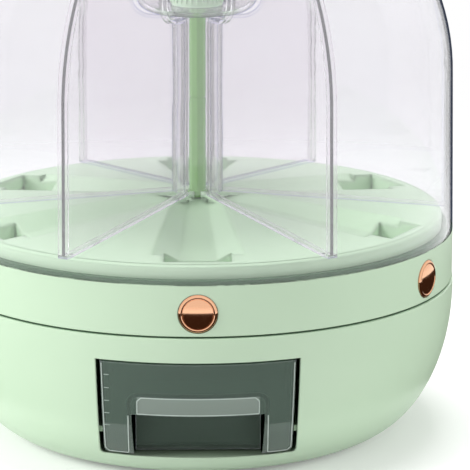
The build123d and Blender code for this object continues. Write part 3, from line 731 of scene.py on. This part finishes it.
def lathe(
    name: str,
    profile: list[tuple[float, float]],
    material: bpy.types.Material,
    sides: int = 96,
    crease_deg: float = 35.0,
) -> bpy.types.Object:
    """Turn a closed profile about Z.

    Args:
        name: the name of the new piece.
        profile: the profile's corners, each a radius and a height in millimetres.
        material: the material that the piece takes.
        sides: the number of steps round the axis.
        crease_deg: the angle from which an edge stays sharp.

    Returns:
        The new object, at the origin.
    """
    work = bmesh.new()
    columns = []
    for side in range(sides):
        turn = 2 * math.pi * side / sides
        along = math.cos(turn) * MM
        across = math.sin(turn) * MM
        places = [(radius * along, radius * across, height * MM) for radius, height in profile]
        columns.append([work.verts.new(place) for place in places])
    for side, column in enumerate(columns):
        following = columns[(side + 1) % sides]
        for index, corner in enumerate(profile):
            after = (index + 1) % len(profile)
            if corner[0] > 0 or profile[after][0] > 0:
                work.faces.new((column[index], following[index], following[after], column[after]))
    bmesh.ops.remove_doubles(work, verts=work.verts, dist=WELD_M)
    bmesh.ops.recalc_face_normals(work, faces=work.faces)
    for face in work.faces:
        face.smooth = True
    mesh = bpy.data.meshes.new(name)
    work.to_mesh(mesh)
    work.free()
    mesh.set_sharp_from_angle(angle=math.radians(crease_deg))
    mesh.materials.append(material)
    LOG.info("%s: %d faces", name, len(mesh.polygons))
    return add_object(name, mesh)


@dataclass
class PhotoCamera:
    """The camera of the photograph, aimed at a point of the axis a little under the ring's top."""

    distance_mm: float = 1732.0
    elevation_deg: float = 13.69
    yaw_deg: float = 0.729
    roll_deg: float = -0.152
    aim_height_mm: float = 112.0
    lens_mm: float = 224.73
    sensor_mm: float = 36.0

    def build(self) -> None:
        """Make the camera and use it for the scene."""
        lift, yaw, roll = (
            math.radians(angle) for angle in (self.elevation_deg, self.yaw_deg, self.roll_deg)
        )
        level = Vector((0.0, math.cos(lift), -math.sin(lift)))
        upright = Vector((0.0, math.sin(lift), math.cos(lift)))
        across = Vector((1.0, 0.0, 0.0))
        place = Vector((0.0, 0.0, self.aim_height_mm * MM)) - level * self.distance_mm * MM
        forward = level * math.cos(yaw) + across * math.sin(yaw)
        side = across * math.cos(yaw) - level * math.sin(yaw)
        right = side * math.cos(roll) + upright * math.sin(roll)
        top = upright * math.cos(roll) - side * math.sin(roll)
        turn = Matrix((right, top, -forward)).transposed().to_4x4()
        lens = bpy.data.cameras.new("photo_camera")
        lens.lens = self.lens_mm
        lens.sensor_width = self.sensor_mm
        camera = add_object("photo_camera", lens)
        camera.matrix_world = Matrix.Translation(place) @ turn
        bpy.context.scene.camera = camera


@dataclass(frozen=True)
class Lamp:
    """A soft square lamp: where it hangs, the side of its face and its power."""

    name: str
    place_m: tuple[float, float, float]
    width_m: float
    power_w: float


@dataclass
class Studio:
    """A white studio: a pale floor, soft lamps, an even world and a brown card for the mirrors."""

    floor_radius_m: float = 1.2
    fade_start_m: float = 0.45
    fade_end_m: float = 1.0
    floor_lift: float = 0.2
    ambient: float = 0.38
    floor_grey: float = 0.9
    card_colour: str = "#3A2A20"
    card_inner_m: float = 0.16
    card_outer_m: float = 0.56
    card_height_m: float = 0.003
    sides: int = 96
    lamp_aim_m: float = 0.15
    lamps: tuple[Lamp, ...] = (
        Lamp("key_lamp", (-2.73, -0.73, 1.5), 1.5, 82.0),
        Lamp("fill_lamp", (2.7, -0.88, 1.5), 1.4, 33.0),
        Lamp("top_lamp", (0.0, 0.3, 2.5), 1.2, 36.0),
    )

    def build(self) -> None:
        """Make the floor, the lamps, the world and the card, and set the plain view transform."""
        bpy.context.scene.view_settings.view_transform = "Standard"
        self.build_world()
        self.build_floor()
        self.build_card()
        for lamp in self.lamps:
            self.build_lamp(lamp)

    def build_world(self) -> None:
        """Light all round, and white where the camera, a mirror or a clear wall shows it."""
        world = bpy.data.worlds.new("white_studio")
        world.cycles.sampling_method = "NONE"
        tree = empty_tree(world)
        strength = add_node(
            tree,
            "ShaderNodeMapRange",
            {"To Min": self.ambient, "To Max": 1.0},
            {"Value": seen_rays(tree)},
        )
        light = add_node(
            tree,
            "ShaderNodeBackground",
            {"Color": (1.0, 1.0, 1.0, 1.0)},
            {"Strength": strength.outputs["Result"]},
        )
        add_node(tree, "ShaderNodeOutputWorld", None, {"Surface": light.outputs["Background"]})
        bpy.context.scene.world = world

    def ring_points(self, radius: float, height: float) -> list[tuple[float, float, float]]:
        """Points of a level circle about the axis.

        Args:
            radius: the circle's radius in metres.
            height: its height in metres.

        Returns:
            One point for each side.
        """
        turns = (2 * math.pi * side / self.sides for side in range(self.sides))
        return [(radius * math.cos(turn), radius * math.sin(turn), height) for turn in turns]

    def build_floor(self) -> None:
        """A round pale floor that takes the shadow, lifts to white for the eye and fades out."""
        mesh = bpy.data.meshes.new("studio_floor")
        mesh.from_pydata(
            self.ring_points(self.floor_radius_m, 0.0), [], [list(range(self.sides))]
        )
        floor = add_object("studio_floor", mesh)
        material = bpy.data.materials.new("studio_floor_white")
        tree = empty_tree(material)
        lift = add_node(
            tree,
            "ShaderNodeMath",
            {"operation": "MULTIPLY", 1: self.floor_lift},
            {0: seen_rays(tree)},
        )
        grey = self.floor_grey
        white = add_node(tree, "ShaderNodeBsdfDiffuse", {"Color": (grey, grey, grey, 1.0)})
        glow = add_node(
            tree,
            "ShaderNodeEmission",
            {"Color": (1.0, 1.0, 1.0, 1.0)},
            {"Strength": lift.outputs[0]},
        )
        both = add_node(
            tree, "ShaderNodeAddShader", None, {0: white.outputs[0], 1: glow.outputs[0]}
        )
        place = add_node(tree, "ShaderNodeTexCoord").outputs["Object"]
        reach = add_node(
            tree, "ShaderNodeVectorMath", {"operation": "LENGTH"}, {0: place}
        ).outputs["Value"]
        fade = add_node(
            tree,
            "ShaderNodeMapRange",
            {
                "interpolation_type": "SMOOTHSTEP",
                "From Min": self.fade_start_m,
                "From Max": self.fade_end_m,
            },
            {"Value": reach},
        )
        clear = add_node(tree, "ShaderNodeBsdfTransparent")
        surface = add_node(
            tree,
            "ShaderNodeMixShader",
            None,
            {0: fade.outputs["Result"], 1: both.outputs[0], 2: clear.outputs[0]},
        )
        add_node(tree, "ShaderNodeOutputMaterial", None, {"Surface": surface.outputs[0]})
        mesh.materials.append(material)

    def build_card(self) -> None:
        """A dark ring on the floor that only mirrors see, as a studio's table edge would be."""
        inner = self.ring_points(self.card_inner_m, self.card_height_m)
        outer = self.ring_points(self.card_outer_m, self.card_height_m)
        faces = []
        for side in range(self.sides):
            after = (side + 1) % self.sides
            faces.append([side, self.sides + side, self.sides + after, after])
        mesh = bpy.data.meshes.new("mirror_card")
        mesh.from_pydata(inner + outer, [], faces)
        card = add_object("mirror_card", mesh)
        material = bpy.data.materials.new("mirror_card_brown")
        tree = empty_tree(material)
        brown = add_node(
            tree, "ShaderNodeEmission", {"Color": linear(self.card_colour), "Strength": 1.0}
        )
        add_node(tree, "ShaderNodeOutputMaterial", None, {"Surface": brown.outputs[0]})
        mesh.materials.append(material)
        card.visible_camera = False
        card.visible_diffuse = False
        card.visible_transmission = False
        card.visible_shadow = False

    def build_lamp(self, lamp: Lamp) -> None:
        """Hang one soft lamp that faces the object.

        Args:
            lamp: the lamp's place, size and power.
        """
        light = bpy.data.lights.new(lamp.name, "AREA")
        light.shape = "SQUARE"
        light.size = lamp.width_m
        light.energy = lamp.power_w
        hung = add_object(lamp.name, light)
        place = Vector(lamp.place_m)
        facing = Vector((0.0, 0.0, self.lamp_aim_m)) - place
        turn = facing.to_track_quat("-Z", "Y").to_matrix().to_4x4()
        hung.matrix_world = Matrix.Translation(place) @ turn
        hung.visible_glossy = False
        hung.visible_transmission = False


class SubAssembly:
    """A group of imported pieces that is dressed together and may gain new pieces."""

    def dress(self) -> None:
        """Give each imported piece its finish."""
        raise NotImplementedError

    def build(self) -> None:
        """Add no new pieces, unless the sub-assembly says which."""


@dataclass
class BowlBase(SubAssembly):
    """The bowl that everything stands on, with its deck, drawer bay, pivot and a dark ring of
    painted shade in its seam.
    """

    seam_shade_outer_mm: float = 149.2
    seam_shade_inner_mm: float = 147.3
    seam_shade_clearance_mm: float = 0.03
    seam_shade_height_mm: float = 0.42
    seam_shade_sides: int = 192

    def dress(self) -> None:
        """Dress the shell, the works inside it, its feet and its fasteners."""
        dress(["base_shell"], MATERIALS[MINT_ABS])
        dress(["drawer_bay", "base_deck", "ball_cage"], MATERIALS[INNER_ABS])
        dress(["feet"], MATERIALS[SILICONE])
        dress(
            [
                "deck_screws",
                "pivot_spindle",
                "pivot_nut",
                "pivot_washer",
                "pivot_screw",
                "bearing_balls",
            ],
            MATERIALS[BRIGHT_STEEL],
        )

    def build(self) -> None:
        """Lay a dark ring in the seam on top of the bowl, as painted shade."""
        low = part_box("base_shell")[1][2] / MM + self.seam_shade_clearance_mm
        high = low + self.seam_shade_height_mm
        profile = [
            (self.seam_shade_inner_mm, low),
            (self.seam_shade_outer_mm, low),
            (self.seam_shade_outer_mm, high),
            (self.seam_shade_inner_mm, high),
        ]
        # painted shade: a dark ring in the seam between the bowl and the ring, where shade falls
        seal = lathe("dust_seal", profile, MATERIALS[DARK_RUBBER_AND_SEAM_SHADE], sides=self.seam_shade_sides)
        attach(seal, Body.BASE.value)


@dataclass
class GrainDrawer(SubAssembly):
    """The smoky drawer, with painted highlight lines along its edges and a printed scale down the
    left of its front.
    """

    scale_marks: int = 5
    mark_width_mm: float = 2.8
    mark_height_mm: float = 0.5
    mark_depth_mm: float = 0.12
    mark_offset_mm: float = -50.3
    lowest_mark_mm: float = 36.4
    mark_step_mm: float = 7.85
    mark_cells: tuple[int, int, int] = (9, 2, 3)
    edge_radius_mm: float = 0.3
    edge_sides: int = 8
    edge_step_mm: float = 1.0
    top_half_mm: float = 53.0
    bottom_half_mm: float = 51.6
    top_mm: float = 74.4
    bottom_mm: float = 18.0
    corner_mm: float = 2.2
    recess_half_mm: float = 38.6
    recess_top_mm: float = 43.6
    lip_half_mm: float = 33.6
    lip_top_mm: float = 55.2
    lip_bottom_mm: float = 45.1

    def dress(self) -> None:
        """Dress the drawer."""
        dress(["drawer"], MATERIALS[SMOKED_STYRENE])

    def build(self) -> None:
        """Print the scale and lay painted highlight lines along the front's edges."""
        self.build_scale()
        self.build_edges()

    @staticmethod
    def lay_on_front(
        tree: bpy.types.NodeTree, drawer: bpy.types.NodeSocket, start: bpy.types.NodeSocket
    ) -> bpy.types.NodeSocket:
        """Find where points in front of the drawer meet it, straight back.

        Args:
            tree: the tree that takes the nodes.
            drawer: the input that holds the drawer.
            start: the places of the points.

        Returns:
            The socket of the places on the drawer.
        """
        front = add_node(tree, "GeometryNodeObjectInfo", None, {"Object": drawer})
        hit = add_node(
            tree,
            "GeometryNodeRaycast",
            {"Ray Direction": TOWARDS_BACK, "Ray Length": RAY_LENGTH_M},
            {"Target Geometry": front.outputs["Geometry"], "Source Position": start},
        )
        return hit.outputs["Hit Position"]

    def build_edges(self) -> None:
        """Lay thin light-coloured beads along the front's edges, the recess and the lip, as painted
        highlights.
        """
        tree = bpy.data.node_groups.new("drawer_edges", "GeometryNodeTree")
        given = add_inputs(
            tree,
            {
                "Drawer": "NodeSocketObject",
                "Lines": "NodeSocketObject",
                "Step": "NodeSocketFloat",
                "Radius": "NodeSocketFloat",
                "Edge": "NodeSocketMaterial",
            },
        )
        lines = add_node(tree, "GeometryNodeObjectInfo", None, {"Object": given["Lines"]})
        curves = add_node(
            tree, "GeometryNodeMeshToCurve", None, {"Mesh": lines.outputs["Geometry"]}
        )
        fine = add_node(
            tree,
            "GeometryNodeResampleCurve",
            {"mode": "LENGTH"},
            {"Curve": curves.outputs[0], "Length": given["Step"]},
        )
        place = add_node(tree, "GeometryNodeInputPosition")
        laid = add_node(
            tree,
            "GeometryNodeSetPosition",
            None,
            {
                "Geometry": fine.outputs[0],
                "Position": self.lay_on_front(tree, given["Drawer"], place.outputs[0]),
            },
        )
        # painted highlight: light-coloured beads swept along the lines on the front
        beads = sweep(tree, laid.outputs[0], given["Radius"], self.edge_sides)
        end_tree(tree, beads, given["Edge"])
        outline = self.edge_outline()
        edges = run_tree(
            "drawer_edges",
            tree,
            {
                "Drawer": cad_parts["drawer"],
                "Lines": outline,
                "Step": self.edge_step_mm * MM,
                "Radius": self.edge_radius_mm * MM,
                "Edge": MATERIALS[PAINTED_EDGE_HIGHLIGHT],
            },
        )
        bpy.data.objects.remove(outline)
        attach(edges, Body.DRAWER.value)

    def edge_outline(self) -> bpy.types.Object:
        """Draw the lines flat, well in front of the drawer.

        Returns:
            An object that holds the lines as edges.
        """
        leg = [
            (self.top_half_mm, self.top_mm),
            (self.bottom_half_mm, self.bottom_mm + self.corner_mm),
            (self.bottom_half_mm - self.corner_mm, self.bottom_mm),
            (self.recess_half_mm, self.bottom_mm),
            (self.recess_half_mm, self.recess_top_mm),
        ]
        lip = [
            (-self.lip_half_mm, self.lip_bottom_mm),
            (-self.lip_half_mm, self.lip_top_mm - self.corner_mm),
            (-self.lip_half_mm + self.corner_mm, self.lip_top_mm),
            (self.lip_half_mm - self.corner_mm, self.lip_top_mm),
            (self.lip_half_mm, self.lip_top_mm - self.corner_mm),
            (self.lip_half_mm, self.lip_bottom_mm),
            (-self.lip_half_mm, self.lip_bottom_mm),
        ]
        points = []
        links = []
        for line in (leg, [(-across, up) for across, up in leg], lip):
            for index, (across, up) in enumerate(line):
                if index:
                    links.append((len(points) - 1, len(points)))
                points.append((across * MM, RAY_START_M, up * MM))
        mesh = bpy.data.meshes.new("edge_outline")
        mesh.from_pydata(points, links, [])
        return add_object("edge_outline", mesh)

    def build_scale(self) -> None:
        """Print the scale: a column of marks laid on the drawer's curved front."""
        tree = bpy.data.node_groups.new("printed_scale", "GeometryNodeTree")
        given = add_inputs(
            tree,
            {
                "Drawer": "NodeSocketObject",
                "Marks": "NodeSocketInt",
                "Lowest": "NodeSocketVector",
                "Step": "NodeSocketVector",
                "Mark": "NodeSocketVector",
                "Ink": "NodeSocketMaterial",
            },
        )
        column = add_node(
            tree,
            "GeometryNodeMeshLine",
            {"mode": "OFFSET"},
            {"Count": given["Marks"], "Start Location": given["Lowest"], "Offset": given["Step"]},
        )
        cells = zip(("Vertices X", "Vertices Y", "Vertices Z"), self.mark_cells)
        mark = add_node(tree, "GeometryNodeMeshCube", dict(cells), {"Size": given["Mark"]})
        marks = add_node(
            tree,
            "GeometryNodeInstanceOnPoints",
            None,
            {"Points": column.outputs[0], "Instance": mark.outputs[0]},
        )
        flat = add_node(
            tree, "GeometryNodeRealizeInstances", None, {"Geometry": marks.outputs[0]}
        )
        place = add_node(tree, "GeometryNodeInputPosition")
        parts = add_node(
            tree, "ShaderNodeSeparateXYZ", None, {"Vector": place.outputs[0]}
        ).outputs
        start = add_node(
            tree, "ShaderNodeCombineXYZ", {"Y": RAY_START_M}, {"X": parts["X"], "Z": parts["Z"]}
        )
        on_front = self.lay_on_front(tree, given["Drawer"], start.outputs[0])
        depth = add_node(tree, "ShaderNodeCombineXYZ", None, {"Y": parts["Y"]})
        laid = add_node(
            tree,
            "ShaderNodeVectorMath",
            {"operation": "ADD"},
            {0: on_front, 1: depth.outputs[0]},
        )
        print_on = add_node(
            tree,
            "GeometryNodeSetPosition",
            None,
            {"Geometry": flat.outputs[0], "Position": laid.outputs[0]},
        )
        end_tree(tree, print_on.outputs[0], given["Ink"])
        scale = run_tree(
            "printed_scale",
            tree,
            {
                "Drawer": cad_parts["drawer"],
                "Marks": self.scale_marks,
                "Lowest": (self.mark_offset_mm * MM, 0.0, self.lowest_mark_mm * MM),
                "Step": (0.0, 0.0, self.mark_step_mm * MM),
                "Mark": (self.mark_width_mm * MM, self.mark_depth_mm * MM, self.mark_height_mm * MM),
                "Ink": MATERIALS[INK],
            },
        )
        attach(scale, Body.DRAWER.value)


@dataclass
class Turntable(SubAssembly):
    """The ring that turns on the bowl, with its plate, gates, buttons and return springs."""

    spring_turns: float = 5.0
    spring_radius_mm: float = 3.5
    wire_radius_mm: float = 0.45
    wire_sides: int = 10
    press_mm: float = 10.0
    samples_per_turn: int = 24
    cap_rise_mm: float = 0.1
    cap_crown_mm: float = 0.5
    cap_face_mm: float = 8.3
    cap_steps: int = 10
    cap_sides: int = 72
    cap_back_mm: float = -1.5
    # corners of the raised rim, each a radius and a height over the button's face
    cap_rim_mm: tuple[tuple[float, float], ...] = (
        (8.5, -0.66),
        (8.75, -0.66),
        (8.95, -0.44),
        (9.3, -0.34),
        (9.75, -0.42),
        (10.2, -0.7),
        (10.5, -1.1),
    )

    def dress(self) -> None:
        """Dress the ring, its plate, its gates, its buttons and its screws."""
        dress(["button_ring"], MATERIALS[MINT_ABS])
        dress(["turntable_plate"] + numbered("gate"), MATERIALS[INNER_ABS])
        dress(numbered("button"), MATERIALS[ROSE_GOLD])
        dress(["plate_screws"], MATERIALS[BRIGHT_STEEL])

    def spring_tree(self) -> bpy.types.NodeTree:
        """Wind a round wire along Z from the origin.

        Returns:
            The tree that winds it.
        """
        tree = bpy.data.node_groups.new("return_spring", "GeometryNodeTree")
        given = add_inputs(
            tree,
            {
                "Turns": "NodeSocketFloat",
                "Samples": "NodeSocketInt",
                "Radius": "NodeSocketFloat",
                "Length": "NodeSocketFloat",
                "Wire": "NodeSocketFloat",
                "Steel": "NodeSocketMaterial",
            },
        )
        coil = add_node(
            tree,
            "GeometryNodeCurveSpiral",
            None,
            {
                "Resolution": given["Samples"],
                "Rotations": given["Turns"],
                "Start Radius": given["Radius"],
                "End Radius": given["Radius"],
                "Height": given["Length"],
            },
        )
        wire = sweep(tree, coil.outputs[0], given["Wire"], self.wire_sides)
        end_tree(tree, wire, given["Steel"])
        return tree

    def build(self) -> None:
        """Plate each button with a rimmed cap, and wind its return spring."""
        self.build_caps()
        self.build_springs()

    def build_caps(self) -> None:
        """Plate each button: a domed mirror in a raised rim."""
        profile = []
        for step in range(self.cap_steps + 1):
            share = step / self.cap_steps
            drop = self.cap_crown_mm * share ** 2
            profile.append((self.cap_face_mm * share, self.cap_rise_mm - drop))
        profile += self.cap_rim_mm
        profile += [(self.cap_rim_mm[-1][0], self.cap_back_mm), (0.0, self.cap_back_mm)]
        low, high = (Vector(corner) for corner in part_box("button_1"))
        front = Matrix.Translation((0.0, low.y, (low.z + high.z) / 2))
        face_out = Matrix.Rotation(math.pi / 2, 4, "X")
        for index, name in enumerate(numbered("button")):
            cap = lathe(
                f"button_cap_{index + 1}", profile, MATERIALS[ROSE_GOLD], sides=self.cap_sides
            )
            sector = Matrix.Rotation(2 * math.pi * index / COMPARTMENTS, 4, "Z")
            cap.data.transform(sector @ front @ face_out)
            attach(cap, name)

    def build_springs(self) -> None:
        """Wind a return spring for each button, from its post to its gate."""
        tree = self.spring_tree()
        low, high = (Vector(corner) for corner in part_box("return_spring_1"))
        wire = self.wire_radius_mm * MM
        post = Vector((0.0, high.y - wire, (low.z + high.z) / 2))
        lay_down = Matrix.Rotation(math.pi / 2, 4, "X")
        for index, node in enumerate(numbered("return_spring")):
            spring = run_tree(
                f"wound_spring_{index + 1}",
                tree,
                {
                    "Turns": self.spring_turns,
                    "Samples": self.samples_per_turn,
                    "Radius": self.spring_radius_mm * MM,
                    "Length": high.y - low.y - 2 * wire,
                    "Wire": wire,
                    "Steel": MATERIALS[BRIGHT_STEEL],
                },
            )
            sector = Matrix.Rotation(2 * math.pi * index / COMPARTMENTS, 4, "Z")
            spring.data.transform(sector @ Matrix.Translation(post) @ lay_down)
            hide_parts(node)
            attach(spring, Body.TURNTABLE.value)
            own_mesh(spring)


@dataclass
class Hopper(SubAssembly):
    """The tray with its dome, dividers and hub, and the rod and knob that hold the hub down."""

    grip_ribs: int = 28
    rib_radius_mm: float = 0.7
    rib_margin_mm: float = 2.6
    rib_sides: int = 12

    def dress(self) -> None:
        """Dress the tray, the clear pieces, the rod, the knob and the seal."""
        dress(["tray"], MATERIALS[TRAY_ABS])
        dress(["hub_knob"], MATERIALS[MINT_ABS])
        panels = ["divider_hub"] + numbered("divider")
        dress(["dome"], MATERIALS[CLEAR_STYRENE])
        dress(panels, MATERIALS[PANEL_STYRENE])
        for name in ["dome"] + panels:
            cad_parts[name].visible_shadow = False
        dress(["center_rod"], MATERIALS[GREEN_ABS])
        dress(["rod_nut"], MATERIALS[BRIGHT_STEEL])
        dress(["dome_seal"], MATERIALS[DARK_RUBBER_AND_SEAM_SHADE])

    def build(self) -> None:
        """Raise grip ribs round the knob in the cup."""
        tree = bpy.data.node_groups.new("grip_ribs", "GeometryNodeTree")
        given = add_inputs(
            tree,
            {
                "Ribs": "NodeSocketInt",
                "Knob Radius": "NodeSocketFloat",
                "Rib Radius": "NodeSocketFloat",
                "Rib Height": "NodeSocketFloat",
                "Plastic": "NodeSocketMaterial",
            },
        )
        circle = add_node(
            tree,
            "GeometryNodeMeshCircle",
            None,
            {"Vertices": given["Ribs"], "Radius": given["Knob Radius"]},
        )
        rib = add_node(
            tree,
            "GeometryNodeMeshCylinder",
            {"Vertices": self.rib_sides},
            {"Radius": given["Rib Radius"], "Depth": given["Rib Height"]},
        )
        ribs = add_node(
            tree,
            "GeometryNodeInstanceOnPoints",
            None,
            {"Points": circle.outputs[0], "Instance": rib.outputs[0]},
        )
        end_tree(tree, ribs.outputs[0], given["Plastic"])
        low, high = (Vector(corner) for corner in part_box("hub_knob"))
        margin = self.rib_margin_mm * MM
        piece = run_tree(
            "knob_grip_ribs",
            tree,
            {
                "Ribs": self.grip_ribs,
                "Knob Radius": high.x,
                "Rib Radius": self.rib_radius_mm * MM,
                "Rib Height": high.z - low.z - 2 * margin,
                "Plastic": MATERIALS[MINT_ABS],
            },
        )
        piece.data.transform(Matrix.Translation((0.0, 0.0, (low.z + high.z) / 2)))
        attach(piece, Body.TURNTABLE.value)


@dataclass
class Lid(SubAssembly):
    """The lid that closes the dome's mouth, with its seal and its knob."""

    def dress(self) -> None:
        """Dress the crown, the knob and its screw, and the seal."""
        dress(["lid"], MATERIALS[MINT_ABS])
        dress(["lid_knob"], MATERIALS[ROSE_GOLD])
        dress(["knob_screw"], MATERIALS[BRIGHT_STEEL])
        dress(["lid_seal"], MATERIALS[SILICONE])


def main() -> None:
    """Build the camera, the studio and the looks of each sub-assembly in order."""
    logging.basicConfig(level=logging.INFO, format="%(name)s: %(message)s")
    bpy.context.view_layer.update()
    for finish in FINISHES:
        MATERIALS[finish] = finish.material()
    PhotoCamera().build()
    Studio().build()
    for assembly in (BowlBase(), GrainDrawer(), Turntable(), Hopper(), Lid()):
        assembly.dress()
        assembly.build()


if __name__ == "__main__":
    main()
